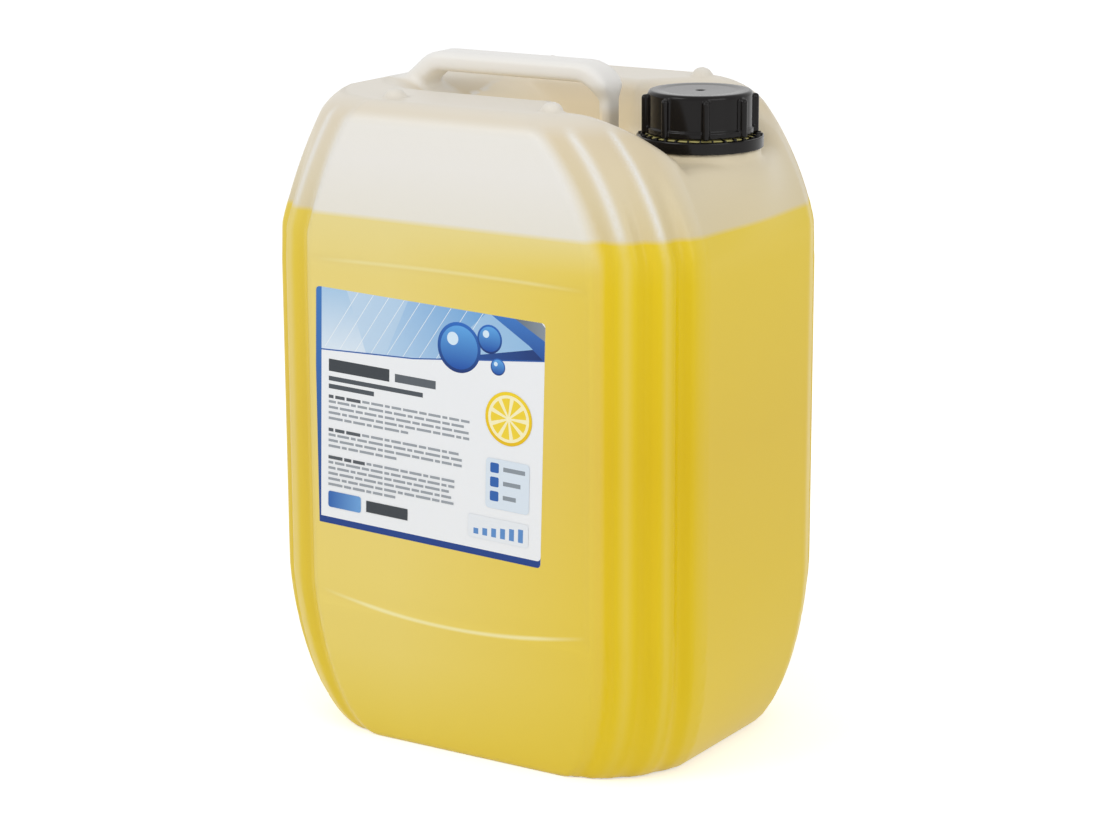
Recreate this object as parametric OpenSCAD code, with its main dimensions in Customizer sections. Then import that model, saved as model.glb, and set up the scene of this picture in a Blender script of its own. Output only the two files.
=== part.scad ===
/* [Body] */
// Length of the body, along the label face
body_l = 292; // [275:1:315]
// Width of the body, front to back
body_w = 220; // [208:1:245]
// Height of the carrying rails above the ground
rail_h = 394; // [380:1:410]
// Plan radius of the four upright corners
corner_r = 48; // [44:1:56]
// How far the ribs of a corner lie inside its full round
corner_sink = 3.6; // [0:0.2:5]
// Thickness of the blown wall
wall = 2; // [1.6:0.1:2.6]

/* [Shoulders and foot] */
// Height at which the end walls start to lean in
shoulder_z = 312; // [295:1:325]
// Reach of the flat top towards the neck end, from the middle
neck_end_top = 96; // [80:1:98]
// Fullness of the shoulder at the neck end
neck_end_p = 1.4; // [1.2:0.1:2]
// Reach of the flat top towards the far end, from the middle
far_end_top = 107; // [100:1:120]
// Fullness of the shoulder at the far end
far_end_p = 1.2; // [1.1:0.1:2]
// Rounding of the long top edges of the rails
rail_r = 12; // [8:1:18]
// Height over which the end walls draw in to the base
foot_end_z = 105; // [90:1:125]
// Height over which the long walls draw in to the base
foot_side_z = 101; // [70:1:115]
// Length of the base
base_l = 226; // [215:1:245]
// Width of the base
base_w = 184; // [170:1:196]
// Fullness of the curve from the end walls to the base
foot_p = 2; // [1.5:0.1:2.4]
// Fullness of the curve from the long walls to the base
foot_side_p = 1.3; // [1.2:0.1:2.2]
// Width of the rim that the can stands on
rim_w = 13; // [10:1:18]
// Rise of the hollow under the base
base_recess = 4; // [2:0.5:6]

/* [Flutes and panels] */
// Depth of the three upright flutes in each corner
flute_depth = 3.6; // [2:0.2:4.4]
// Angle that each flute takes up
flute_angle = 18; // [15:0.5:19]
// Angle of the rib next to the long wall
side_rib_angle = 15; // [10:0.5:18]
// Angle of the rib next to the end wall
end_rib_angle = 10; // [8:0.5:12]
// Height at which the flutes have run out under the shoulder
flute_top_z = 370; // [355:1:384]
// Length over which the flutes fade out
flute_fade = 46; // [30:1:60]
// Depth of the recess for the label, front and back
panel_recess = 1.2; // [0.6:0.1:2]
// Height of the lower edge of that recess
panel_low_z = 86; // [80:1:96]
// Height of the upper edge of that recess
panel_high_z = 301; // [290:1:304]
// How far the end wall swells out under the neck
pad_out = 13; // [8:1:15]

/* [Trough] */
// Depth of the trough under the handle, below the rails
trough_depth = 58; // [50:1:64]
// Half the width of the trough at the rails
trough_half_w = 48; // [42:1:52]
// End of the trough at the far end, from the middle
trough_far = 98; // [92:1:102]
// End of the deep part of the trough at the neck end, from the middle
trough_near = 42; // [36:1:45]
// Depth of the flat round the neck, below the rails
pocket_depth = 32; // [29:1:38]
// Half the width of the flat beside the neck
pocket_half_w = 50; // [46:1:52]
// How far the walls of that flat lean back on their way up to the rails
pocket_lean = 30; // [0:1:32]

/* [Handle] */
// Height of the middle of the handle bar above the rails
handle_lift = 11; // [8:1:20]
// Width of the handle bar
handle_w = 24; // [20:1:28]
// Thickness of the handle bar
handle_t = 12; // [11:0.5:15]
// Wall of the hollow handle bar
handle_wall = 2.4; // [2:0.1:3]
// Start of the straight bar at the far end, from the middle
handle_far = 70; // [62:1:76]
// Place of the upright leg of the handle, from the middle
handle_leg_x = 47; // [44:1:52]
// Bend radius of the handle
handle_bend = 17; // [14:1:20]
// Width of the upright leg where it meets the body
leg_w = 13; // [12:1:24]
// Thickness of the upright leg where it meets the body
leg_t = 8; // [7:0.5:12]

/* [Neck] */
// Distance of the middle of the neck from the end wall
neck_inset = 41; // [38:1:44]
// Radius of the pouring mouth
mouth_r = 24.2; // [20:0.1:24.6]
// Outer radius of the neck below its thread
neck_r = 26.8; // [26.4:0.1:27]
// Radius of the collar inside the tamper ring
collar_r = 32.6; // [31.6:0.1:32.6]
// Radius of the bead that holds the tamper ring down
bead_r = 34.2; // [33.6:0.1:34.2]
// Radius of the flange under the tamper ring
flange_r = 35; // [34:0.1:36]
// Height of the flange above the flat
flange_h = 4.9; // [4:0.1:5.5]
// Height of the neck above the flange
neck_h = 27.4; // [25:0.1:29]

/* [Closure] */
// Outer radius of the cap body
cap_r = 30.4; // [30.2:0.1:31]
// Wall of the cap skirt
cap_wall = 2; // [1.6:0.1:2.2]
// Thickness of the top of the cap
cap_top = 2.2; // [1.8:0.1:3]
// Number of grip ribs on the cap
grip_count = 8; // [4:1:12]
// Reach of the grip ribs past the cap body
grip_out = 3.7; // [2.5:0.1:4.2]
// Width of a grip rib
grip_w = 4.1; // [3:0.1:5]
// Thickness of the sealing disc
liner_t = 1.5; // [1:0.1:2]
// Outer radius of the tamper ring
ring_r = 37; // [36.6:0.1:38]
// Height of the tamper ring
ring_h = 6.8; // [6.2:0.1:7.2]
// Gap between the cap skirt and the tamper ring
ring_gap = 1; // [0.8:0.1:1.4]
// Running clearance between the closure and the neck
play = 0.3; // [0.2:0.05:0.4]

/* [Contents and label] */
// Height of the detergent
fill_z = 327; // [280:1:332]
// Width of the label
label_w = 161; // [140:1:161]
// Height of the label
label_h = 145; // [120:1:160]
// Height of the middle of the label
label_z = 207; // [190:1:215]
// Place of the middle of the label, from the middle
label_x = -14.8; // [-14.8:0.2:14.8]
// Turn of the hand-placed label
label_turn = 1.7; // [0:0.1:1.7]
// Thickness of the label film
label_t = 0.16; // [0.1:0.02:0.3]

/* [Hidden] */
$fn = 96;

half_l = body_l / 2;
half_w = body_w / 2;
neck_x = half_l - neck_inset;
handle_z = rail_h + handle_lift;
trough_floor_z = rail_h - trough_depth;
pocket_z = rail_h - pocket_depth;
flute_starts = [
    0, flute_angle + side_rib_angle, 2 * flute_angle + side_rib_angle + end_rib_angle
];
flute_steps = 4;
foot_sink = 1.1;
sink_z = 120;
panel_edge = 3;
panel_reach = 0.995;
rim_edge = 3;
top_over = 6;
fill_play = 0.3;

flange_z = pocket_z + flange_h;
neck_z = flange_z + neck_h;
ring_z = flange_z;
skirt_z = ring_z + ring_h + ring_gap;
collar_z = skirt_z - play - 0.5;
bead_z = ring_z + ring_h * 0.62;
liner_z = neck_z;
cap_z = liner_z + liner_t + cap_top;

function lerp(a, b, t) = a + (b - a) * t;
function clamp(t) = max(0, min(1, t));
function bulge(t, p) = pow(max(0, 1 - pow(clamp(t), p)), 1 / p);

// Half the length at a height, towards an end with the given top reach and fullness
function reach(z, top, p) =
    z > shoulder_z ? lerp(top, half_l, bulge((z - shoulder_z) / (rail_h - shoulder_z), p)) :
    lerp(base_l / 2, half_l, bulge((foot_end_z - z) / foot_end_z, foot_p));

// Half the width at a height
function side(z) =
    z > rail_h - rail_r ? half_w - rail_r * (1 - bulge((z - rail_h + rail_r) / rail_r, 2)) :
    lerp(base_w / 2, half_w, bulge((foot_side_z - z) / foot_side_z, foot_side_p));

// Depth of the flutes and of the label recess at a height
function flute(z) = flute_depth * clamp((flute_top_z - z) / flute_fade);
function recess(z) = panel_recess
    * clamp((z - panel_low_z) / panel_edge) * clamp((panel_high_z - z) / panel_edge);

// How far the neck end swells out at a height, and across its width
function pad(z) = pad_out * clamp((z - shoulder_z) / (pocket_z - 8 - shoulder_z));
function crown(u) = pow(cos(90 * u), 2);

// How far the corners lie inside their full round at a height
function sunk(z) = corner_sink * lerp(foot_sink, 1, clamp(z / sink_z));

// Angles and flute depths through a corner, from the long wall to the end wall
corner_steps = concat(
    [for (start = flute_starts, k = [0:flute_steps]) let(u = k / flute_steps)
        [start + u * flute_angle, sin(180 * u)]],
    [[90, 0]]
);
corner_steps_back = [for (i = [len(corner_steps) - 1:-1:0]) let(s = corner_steps[i]) [90 - s[0], s[1]]];

// One fluted corner about its centre, from the given direction on through a right angle
function corner(cx, cy, start, steps, r, depth, sink) = [
    for (s = steps) let(
        a = start + s[0],
        rr = r - depth * s[1] - sink * sqrt(max(0, sin(2 * s[0])))
    ) [cx + rr * cos(a), cy + rr * sin(a)]
];

// Outline of the body at a height, drawn in by an inset, counter-clockwise from the front
function outline(z, inset) = let(
    near = reach(z, neck_end_top, neck_end_p) - corner_r,
    far = reach(z, far_end_top, far_end_p) - corner_r,
    across = side(z) - corner_r,
    r = corner_r - inset,
    d = flute(z),
    s = sunk(z),
    y = across + r - recess(z),
    x = near + r,
    swell = min(pad(z), half_l - inset - x),
    front = [for (u = [-panel_reach, 0, panel_reach]) [u > 0 ? u * near : -u * -far, -y]],
    back = [for (u = [panel_reach, 0, -panel_reach]) [u > 0 ? u * near : -u * -far, y]],
    neck_end = [for (u = [-0.5, 0, 0.5]) [x + swell * crown(u), u * across]],
    far_end = [for (u = [0.5, 0, -0.5]) [-far - r, u * across]]
) concat(
    front, corner(near, -across, -90, corner_steps, r, d, s),
    neck_end, corner(near, across, 0, corner_steps_back, r, d, s),
    back, corner(-far, across, 90, corner_steps, r, d, s),
    far_end, corner(-far, -across, 180, corner_steps_back, r, d, s)
);

function at(points, z) = [for (p = points) [p[0], p[1], z]];

// Heights of the outlines from the foot to the top
foot_steps = 6;
shoulder_steps = 7;
foot_levels = [for (i = [1:foot_steps]) foot_end_z * (1 - cos(90 * i / foot_steps))];
panel_levels = [
    panel_low_z, panel_low_z + panel_edge, panel_high_z - panel_edge, panel_high_z
];
shoulder_levels = [
    for (i = [0:shoulder_steps]) lerp(shoulder_z, rail_h, sin(90 * i / shoulder_steps))
];
middle_level = [(foot_end_z + shoulder_z) / 2];
levels = sorted(concat(foot_levels, panel_levels, middle_level, shoulder_levels));

function sorted(v) = len(v) < 2 ? v : let(
    pivot = v[0],
    low = [for (x = v) if (x < pivot - 0.5) x],
    high = [for (x = v) if (x > pivot + 0.5) x]
) concat(sorted(low), [pivot], sorted(high));

// The inner walls use the same heights, drawn in by the thickness at both ends
function inner_z(z, t) = t + (rail_h - 2 * t) * z / rail_h;
function outer_z(z, t) = (z - t) * rail_h / (rail_h - 2 * t);

function base_rings(t) = [
    at(outline(0, rim_w + rim_edge - 0.75 * t), base_recess + t),
    at(outline(0, rim_w - t), t),
    at(outline(0, rim_edge + 0.75 * t), t),
    at(outline(0, 0.3 * rim_edge + 0.9 * t), 0.3 * rim_edge + t)
];

function body_rings(t, top) = concat(
    base_rings(t),
    [for (z = levels) if (inner_z(z, t) < top - 0.5) at(outline(z, t), inner_z(z, t))],
    [at(outline(outer_z(top, t), t), top)]
);

function sum(ring, k, i = 0) = i < len(ring) ? ring[i][k] + sum(ring, k, i + 1) : 0;
function centre(ring) = [for (k = [0:2]) sum(ring, k) / len(ring)];

// Closed solid through a stack of outlines with the same number of points
module loft(rings) {
    n = len(rings[0]);
    m = len(rings);
    polyhedron(
        points = concat([for (r = rings) each r], [centre(rings[0]), centre(rings[m - 1])]),
        faces = concat(
            [for (j = [0:m - 2], i = [0:n - 1], half = [0, 1]) let(
                a = j * n + i,
                b = j * n + (i + 1) % n
            ) half == 0 ? [a, a + n, b + n] : [a, b + n, b]],
            [for (i = [0:n - 1]) [m * n, i, (i + 1) % n]],
            [for (i = [0:n - 1]) [m * n + 1, (m - 1) * n + (i + 1) % n, (m - 1) * n + i]]
        )
    );
}

// The trough under the handle, grown by a thickness for the wall round it
trough_low_far = 34;
trough_low_w = 34;
trough_low_near = 28;
trough_end_r = 18;

function trough_outline(s, t, near) = let(
    w = lerp(trough_low_w, trough_half_w, sqrt(s)) + t,
    far = lerp(trough_low_far, trough_far, pow(s, 2.25)) + t,
    r = trough_end_r + t
) concat(
    [for (a = [-90:18:90]) [near + t - r + r * cos(a), (w - r) * sign(a) + r * sin(a)]],
    [for (a = [90:15:270]) [-far + w + w * cos(a), w * sin(a)]]
);

trough_steps = 8;
module trough(t) {
    depth = rail_h - trough_floor_z;
    loft(concat(
        [for (i = [0:trough_steps]) let(s = pow(i / trough_steps, 1.5)) at(
            trough_outline(s, t, lerp(trough_low_near, trough_near, sqrt(clamp(s * 3)))),
            trough_floor_z + depth * s - t * (1 - s)
        )],
        [at(trough_outline(1, t, trough_near), rail_h + top_over)]
    ));
}

// The flat round the neck, open towards the end wall, with walls that lean back
pocket_edge = 5;
module pocket(t) {
    start = trough_near - 8;
    wide = lerp(start, neck_x, 0.4);
    over = half_l + pad_out + top_over;
    splay = 14;
    function plan(grow, lean) = let(half = [
        [start - t, trough_half_w + grow], [wide, pocket_half_w + grow + 0.8 * lean],
        [neck_x, pocket_half_w + grow + lean], [over, pocket_half_w + splay + grow + lean]
    ]) concat(
        [for (p = half) [p[0], -p[1]]],
        [for (i = [len(half) - 1:-1:0]) half[i]]
    );
    loft([
        at(plan(t - pocket_edge, 0), pocket_z - t),
        at(plan(t - 0.3 * pocket_edge, 0), pocket_z - t + 0.3 * pocket_edge),
        at(plan(t, 0), pocket_z - t + pocket_edge),
        at(plan(t, pocket_lean), rail_h + top_over)
    ]);
}

// Handle bar: a rounded bar along a bent line from the far end to the upright leg
handle_foot_x = -trough_far - 12;
handle_rise = 45;
function handle_line() = concat(
    [[handle_foot_x - 4, handle_z - 32, 90 + handle_rise, 0]],
    [for (a = [90 + handle_rise:-handle_rise / 3:90]) [
        -handle_far + handle_bend * cos(a), handle_z - handle_bend + handle_bend * sin(a), a, 0
    ]],
    [for (a = [90:-15:0]) [
        handle_leg_x - handle_bend + handle_bend * cos(a),
        handle_z - handle_bend + handle_bend * sin(a), a, pow(cos(a), 3)
    ]],
    [[handle_leg_x, pocket_z - wall - 8, 0, 1]]
);
bar_round = 4.5;
function bar_section(w, t, r) = [
    for (q = [[1, 1, 0], [-1, 1, 90], [-1, -1, 180], [1, -1, 270]], a = [0:30:90]) [
        q[0] * (w / 2 - r) + r * cos(q[2] + a), q[1] * (t / 2 - r) + r * sin(q[2] + a)
    ]
];
module handle_bar(shrink) {
    loft([for (p = handle_line()) let(
        w = lerp(handle_w, leg_w, p[3]) - 2 * shrink,
        t = lerp(handle_t, leg_t, p[3]) - 2 * shrink
    ) [for (s = bar_section(w, t, min(bar_round, 0.45 * t)))
        [p[0] + s[1] * cos(p[2]), s[0], p[1] + s[1] * sin(p[2])]
    ]]);
}

// Ridge from the foot of the handle leg down to the neck
ridge_w = 15;
module ridge() {
    translate([0, ridge_w / 2, 0]) rotate([90, 0, 0]) linear_extrude(ridge_w) polygon([
        [handle_leg_x - 5, pocket_z - wall], [handle_leg_x - 4, pocket_z + 20],
        [handle_leg_x + 4, pocket_z + 20], [neck_x - ring_r - 4, flange_z + 1],
        [neck_x - ring_r - 1, flange_z - 0.8], [neck_x - flange_r + 2, flange_z - 0.8],
        [neck_x - flange_r + 2, pocket_z - wall]
    ]);
}

// Stacking nubs on the rails
nub_r = 7.6;
nub_x = [-50.5, 60];
nub_y = half_w - 25;
nub_rise = 4.7;
module nubs() {
    for (x = nub_x, y = [-nub_y, nub_y])
        translate([x, y, rail_h + nub_rise - nub_r]) sphere(nub_r);
}

module neck() {
    translate([neck_x, 0, 0]) rotate_extrude() polygon([
        [mouth_r - 1, pocket_z - wall], [flange_r, pocket_z - wall], [flange_r, flange_z],
        [collar_r, flange_z], [collar_r, bead_z], [bead_r, bead_z + 0.6],
        [collar_r, bead_z + 2.4], [collar_r, collar_z], [neck_r, collar_z],
        [neck_r, neck_z - 1], [neck_r - 1, neck_z], [mouth_r - 1, neck_z]
    ]);
}

// Blown shell with its trough, handle and inner walls, at its full outer size
module moulding() {
    resize([0, 0, 0]) difference() {
        union() {
            difference() {
                loft(body_rings(0, rail_h));
                trough(0);
                pocket(0);
            }
            handle_bar(0);
            ridge();
        }
        difference() {
            loft(body_rings(wall, rail_h - wall));
            trough(wall);
            pocket(wall);
        }
        handle_bar(handle_wall);
        translate([neck_x, 0, pocket_z - 2 * wall]) cylinder(r = mouth_r - 1, h = 4 * wall, $fn = 48);
    }
}

module canister() {
    color("#E9E3C8") difference() {
        union() {
            moulding();
            nubs();
            neck();
        }
        translate([neck_x, 0, pocket_z - wall - 1]) cylinder(r = mouth_r, h = neck_z);
    }
}

module detergent() {
    color("#E2C832") loft(body_rings(wall + fill_play, fill_z));
}

grip_turn = 35.7;
module cap() {
    color("#1C1A1A") {
        translate([neck_x, 0, 0]) {
            rotate_extrude() polygon([
                [0, cap_z - 1.4], [1.6, cap_z - 1.2], [3, cap_z - 0.5], [22, cap_z - 0.2],
                [25, cap_z], [cap_r - 2.6, cap_z], [cap_r - 1, cap_z - 0.7],
                [cap_r - 0.3, cap_z - 2], [cap_r, cap_z - 4], [cap_r, skirt_z + 4.2],
                [cap_r + 0.8, skirt_z + 3.4], [cap_r + 0.8, skirt_z], [cap_r - cap_wall, skirt_z],
                [cap_r - cap_wall, cap_z - cap_top], [0, cap_z - cap_top]
            ]);
            for (k = [0:grip_count - 1]) rotate([0, 0, 360 * k / grip_count + grip_turn]) grip();
        }
    }
}

// One grip rib: a rounded bar up the skirt, with a domed top
module grip() {
    out = cap_r + grip_out - grip_w / 2;
    low = skirt_z;
    high = cap_z - 4;
    translate([out, 0, low]) cylinder(d = grip_w, h = high - low - grip_w / 2, $fn = 32);
    translate([out, 0, high - grip_w / 2]) sphere(d = grip_w, $fn = 32);
    translate([cap_r - 0.8, -grip_w / 2, low]) cube([out - cap_r + 0.8, grip_w, high - low - grip_w / 2]);
}

module cap_liner() {
    color("#E8E6DF") translate([neck_x, 0, liner_z])
        cylinder(r = cap_r - cap_wall - play, h = liner_t);
}

module tamper_ring() {
    lip = 1.4;
    color("#1C1A1A") translate([neck_x, 0, ring_z]) rotate_extrude() polygon([
        [collar_r + play, 0], [ring_r - 0.5, 0], [ring_r, 0.5], [ring_r, ring_h - 0.6],
        [ring_r - 0.6, ring_h], [bead_r + play, ring_h], [bead_r + play, lip + 1],
        [collar_r + play, lip]
    ]);
}

module label() {
    r = 2.5;
    color("#F4F4F2") translate([label_x, -half_w + panel_recess, label_z])
        rotate([90, label_turn, 0]) linear_extrude(label_t) union() {
            square([label_w - 2 * r, label_h], center = true);
            square([label_w, label_h - 2 * r], center = true);
            for (x = [-1, 1], y = [-1, 1])
                translate([x * (label_w / 2 - r), y * (label_h / 2 - r)]) circle(r, $fn = 48);
        }
}

canister();
detergent();
cap();
cap_liner();
tamper_ring();
label();
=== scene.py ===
import math

import bpy
import numpy as np
from mathutils import Matrix, Vector


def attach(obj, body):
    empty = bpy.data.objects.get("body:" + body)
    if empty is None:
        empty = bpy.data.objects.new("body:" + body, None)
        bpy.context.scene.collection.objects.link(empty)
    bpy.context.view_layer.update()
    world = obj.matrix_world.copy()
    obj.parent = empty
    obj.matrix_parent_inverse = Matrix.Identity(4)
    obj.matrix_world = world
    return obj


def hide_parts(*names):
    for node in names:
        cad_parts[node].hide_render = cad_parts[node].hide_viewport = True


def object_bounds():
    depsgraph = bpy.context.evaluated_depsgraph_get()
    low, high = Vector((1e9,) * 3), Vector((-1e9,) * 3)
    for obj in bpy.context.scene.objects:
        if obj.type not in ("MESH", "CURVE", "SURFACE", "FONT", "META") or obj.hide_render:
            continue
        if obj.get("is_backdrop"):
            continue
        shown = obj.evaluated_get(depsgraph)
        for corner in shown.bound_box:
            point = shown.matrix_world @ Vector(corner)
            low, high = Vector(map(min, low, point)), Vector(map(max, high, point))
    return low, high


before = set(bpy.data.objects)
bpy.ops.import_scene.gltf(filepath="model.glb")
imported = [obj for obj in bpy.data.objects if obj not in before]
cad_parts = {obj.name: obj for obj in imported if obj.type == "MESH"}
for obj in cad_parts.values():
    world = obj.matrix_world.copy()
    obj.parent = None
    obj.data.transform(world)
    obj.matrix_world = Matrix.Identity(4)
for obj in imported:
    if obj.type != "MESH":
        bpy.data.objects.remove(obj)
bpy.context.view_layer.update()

# ---------------------------------------------------------------------------------------------
# Helpers for all pieces. A form is a field of distances in millimetres, below zero inside, and a
# mesh is netted over its zero level. Every position is in the part's own frame.
MM = 0.001


def lerp(a, b, t):
    """From a to b by a share."""
    return a + (b - a) * t


def share(v):
    """A value held between 0 and 1."""
    return np.clip(v, 0, 1)


def joined(a, b, fillet):
    """Two forms as one, with a fillet of that radius between them."""
    return np.maximum(fillet, np.minimum(a, b)) - np.hypot(
        np.maximum(fillet - a, 0), np.maximum(fillet - b, 0)
    )


def shared(a, b, fillet):
    """What lies inside both forms, with its edge rounded to that radius."""
    return -joined(-a, -b, fillet)


def netted(form, low, high, step, keep=None):
    """Mesh points and four-sided faces over the zero level of a form, between two corners.

    Each cell of the grid that the level crosses gets one point, and each grid edge that it
    crosses gets one face. With keep, only the faces whose middle it accepts are left.
    """
    axes = [np.arange(a, b + step, step) for a, b in zip(low, high)]
    grid = np.meshgrid(*axes, indexing="ij")
    value = form(*grid)
    inside = value < 0
    shape = [n - 1 for n in value.shape]

    def corner(array, dx, dy, dz):
        return array[dx : dx + shape[0], dy : dy + shape[1], dz : dz + shape[2]]

    steps = [(dx, dy, dz) for dx in (0, 1) for dy in (0, 1) for dz in (0, 1)]
    count = sum(corner(inside, *s).astype(np.int8) for s in steps)
    cells = np.argwhere((count > 0) & (count < 8))
    number = np.full(shape, -1, np.int64)
    number[tuple(cells.T)] = np.arange(len(cells))
    total, crossed = np.zeros((len(cells), 3)), np.zeros(len(cells))
    for axis in range(3):
        for s in steps:
            if s[axis] == 0:
                other = list(s)
                other[axis] = 1
                a = value[tuple((cells + s).T)]
                b = value[tuple((cells + other).T)]
                cut = (a < 0) != (b < 0)
                t = np.where(cut, a / np.where(cut, a - b, 1), 0)
                place = np.tile(np.array(s, float), (len(cells), 1))
                place[:, axis] = t
                total[cut] += place[cut]
                crossed[cut] += 1
    points = np.array(low) + step * (cells + total / crossed[:, None])
    faces = []
    for axis in range(3):
        one, two = (axis + 1) % 3, (axis + 2) % 3
        first = np.take(inside, range(inside.shape[axis] - 1), axis)
        second = np.take(inside, range(1, inside.shape[axis]), axis)
        edges = np.argwhere(first != second)
        ok = (edges[:, one] > 0) & (edges[:, two] > 0)
        ok &= (edges[:, one] < shape[one]) & (edges[:, two] < shape[two])
        edges = edges[ok]
        ring = []
        for back_one, back_two in ((1, 1), (0, 1), (0, 0), (1, 0)):
            cell = edges.copy()
            cell[:, one] -= back_one
            cell[:, two] -= back_two
            ring.append(number[tuple(cell.T)])
        quad = np.stack(ring, 1)
        leaves = inside[tuple(edges.T)]
        faces.append(np.where(leaves[:, None], quad, quad[:, ::-1]))
    faces = np.concatenate(faces)
    # Each point moves along the form's slope until it lies on the zero level
    for _ in range(2):
        x, y, z = points.T
        h = 0.2 * step
        slope = np.stack([
            form(x + h, y, z) - form(x - h, y, z),
            form(x, y + h, z) - form(x, y - h, z),
            form(x, y, z + h) - form(x, y, z - h),
        ], 1) / (2 * h)
        move = form(x, y, z)[:, None] * slope / np.maximum((slope**2).sum(1), 0.25)[:, None]
        points = points - np.clip(move, -0.5 * step, 0.5 * step)
    if keep is not None:
        faces = faces[keep(points[faces].mean(1))]
    return points, faces


def mesh_object(name, points, faces, smooth=True):
    """A mesh object from points in millimetres, in the part's own frame."""
    mesh = bpy.data.meshes.new(name)
    rows = (np.array(points, float) * MM).tolist()
    mesh.from_pydata(rows, [], [list(map(int, face)) for face in faces])
    mesh.validate()
    if smooth:
        mesh.shade_smooth()
    made = bpy.data.objects.new(name, mesh)
    bpy.context.scene.collection.objects.link(made)
    return made


def turned(profile, x, turns=128, closed=False):
    """Points and faces of a profile of (radius, height) spun about the upright axis at x."""
    around = np.radians(np.arange(turns) * 360 / turns)
    points = [(x + r * math.cos(a), r * math.sin(a), z) for r, z in profile for a in around]
    rows = len(profile)
    faces = []
    for j in range(rows if closed else rows - 1):
        k = (j + 1) % rows
        for i in range(turns):
            n = (i + 1) % turns
            faces.append((j * turns + i, j * turns + n, k * turns + n, k * turns + i))
    return points, faces


def linear(colour):
    """An sRGB hex colour as the linear values that a shader takes."""
    parts = [int(colour[i : i + 2], 16) / 255 for i in (1, 3, 5)]
    return [c / 12.92 if c <= 0.04045 else ((c + 0.055) / 1.055) ** 2.4 for c in parts] + [1.0]


def add_node(tree, kind, sockets=None, **settings):
    """Adds a node and sets it; each socket named gets another node's output or a value."""
    made = tree.nodes.new(kind)
    for key, value in settings.items():
        if hasattr(made, key):
            setattr(made, key, value)
        else:
            made.inputs[key.replace("_", " ")].default_value = value
    for socket, source in (sockets or {}).items():
        if isinstance(source, bpy.types.NodeSocket):
            tree.links.new(source, made.inputs[socket])
        else:
            made.inputs[socket].default_value = source
    return made


def new_material(name):
    """An empty material and its node tree."""
    made = bpy.data.materials.new(name)
    made.use_nodes = True
    made.node_tree.nodes.clear()
    return made, made.node_tree


def new_geometry_tree(name, inputs):
    """A Geometry Nodes tree with named inputs, each a kind and a value, and its input node."""
    made = bpy.data.node_groups.new(name, "GeometryNodeTree")
    for socket, (kind, value) in inputs.items():
        given = made.interface.new_socket(socket, in_out="INPUT", socket_type=kind)
        given.default_value = value
    made.interface.new_socket("Geometry", in_out="OUTPUT", socket_type="NodeSocketGeometry")
    return made, add_node(made, "NodeGroupInput")


def grown(name, tree):
    """What a node tree draws, as a plain mesh object without its modifier."""
    made = bpy.data.objects.new(name, bpy.data.meshes.new(name + "_start"))
    bpy.context.scene.collection.objects.link(made)
    made.modifiers.new("nodes", "NODES").node_group = tree
    seen = made.evaluated_get(bpy.context.evaluated_depsgraph_get())
    mesh = bpy.data.meshes.new_from_object(seen)
    made.modifiers.clear()
    made.data = mesh
    mesh.shade_smooth()
    return made


# ---------------------------------------------------------------------------------------------
# Canister. One blow-moulded skin of natural high-density polyethylene, 2 mm thick: the soft tube
# is blown against a two-part mould, so no edge is sharp, and shapes meet in fillets. The neck's
# profile is formed by the mould's inserts and is the only crisp part.
BODY_L, BODY_W, RAIL_H = 292.0, 220.0, 394.0
SHOULDER_Z = 312.0
NECK_END_TOP, NECK_END_FULLNESS = 96.0, 1.4
FAR_END_TOP, FAR_END_FULLNESS = 107.0, 1.2
RAIL_R, RAIL_FULLNESS = 12.0, 1.5
BASE_L, BASE_W = 226.0, 184.0
FOOT_END_Z, FOOT_SIDE_Z, FOOT_FULLNESS, FOOT_SIDE_FULLNESS = 105.0, 101.0, 2.0, 1.3
RIM_W, BASE_RECESS = 13.0, 4.0
CORNER_R, CORNER_SINK, SINK_FULLNESS = 48.0, 3.6, 0.6
FOOT_SINK, FOOT_SINK_Z = 1.1, 120.0
FLUTE_STARTS, FLUTE_ANGLE = (0.0, 33.0, 61.0), 18.0
FLUTE_DEPTH, FLUTE_SHARPNESS, FLUTE_TOP_Z, FLUTE_FADE = 3.6, 1.25, 370.0, 46.0
FOOT_FLUTE, FOOT_FLUTE_Z = 0.35, 70.0
EDGE_STEP, EDGE_STEP_Z, EDGE_STEP_FADE = 1.3, 290.0, 40.0
PANEL_RECESS, PANEL_LOW_Z, PANEL_HIGH_Z, PANEL_EDGE = 1.2, 86.0, 301.0, 3.0
POCKET_Z, POCKET_START, POCKET_EDGE, POCKET_LEAN = 362.0, 34.0, 5.0, 42.0
PAD_OUT, PAD_TOP_Z = 13.0, POCKET_Z - 8
NECK_X = 105.0


def bulge(t, fullness):
    """From 1 down to 0 along a quarter of a superellipse."""
    return (1 - share(t) ** fullness) ** (1 / fullness)


def reach(z, top, fullness):
    """Half the body's length at a height, towards one end."""
    shoulder = lerp(top, BODY_L / 2, bulge((z - SHOULDER_Z) / (RAIL_H - SHOULDER_Z), fullness))
    foot = lerp(BASE_L / 2, BODY_L / 2, bulge((FOOT_END_Z - z) / FOOT_END_Z, FOOT_FULLNESS))
    return np.where(z > SHOULDER_Z, shoulder, foot)


def side(z):
    """Half the body's width at a height."""
    rail = BODY_W / 2 - RAIL_R * (1 - bulge((z - RAIL_H + RAIL_R) / RAIL_R, RAIL_FULLNESS))
    foot = lerp(
        BASE_W / 2, BODY_W / 2, bulge((FOOT_SIDE_Z - z) / FOOT_SIDE_Z, FOOT_SIDE_FULLNESS)
    )
    return np.where(z > RAIL_H - RAIL_R, rail, foot)


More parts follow.
